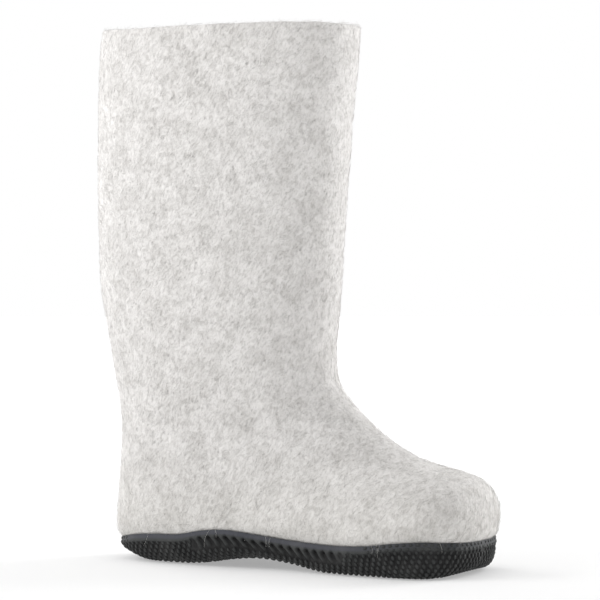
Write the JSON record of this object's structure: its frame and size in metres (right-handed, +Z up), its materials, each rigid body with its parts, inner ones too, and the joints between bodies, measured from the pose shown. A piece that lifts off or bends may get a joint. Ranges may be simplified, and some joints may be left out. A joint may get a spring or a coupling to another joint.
{
  "type": "valenki felt boot",
  "caption": "Tall pull-on boot of thick pale wool felt, shaped in one seamless piece, on a black ribbed rubber outsole, with a loose felt insole. It stands empty on its sole.",
  "frame": {"origin": "on the floor, under the middle of the heel's flat spot, in the boot's middle plane", "axes": "+X towards the toe, +Y to the wearer's left, +Z up the shaft"},
  "size_m": [0.2801, 0.108, 0.3536],
  "materials": {
    "felt": "pale grey wool felt, matt, mottled, with a short nap",
    "rubber": "black moulded rubber, satin on the band, dull on the ribs",
    "insole_felt": "grey wool felt, matt, flat"
  },
  "bodies": {
    "root": {"upper": "felt", "outsole": "rubber", "insole": "insole_felt"}
  },
  "joints": []
}
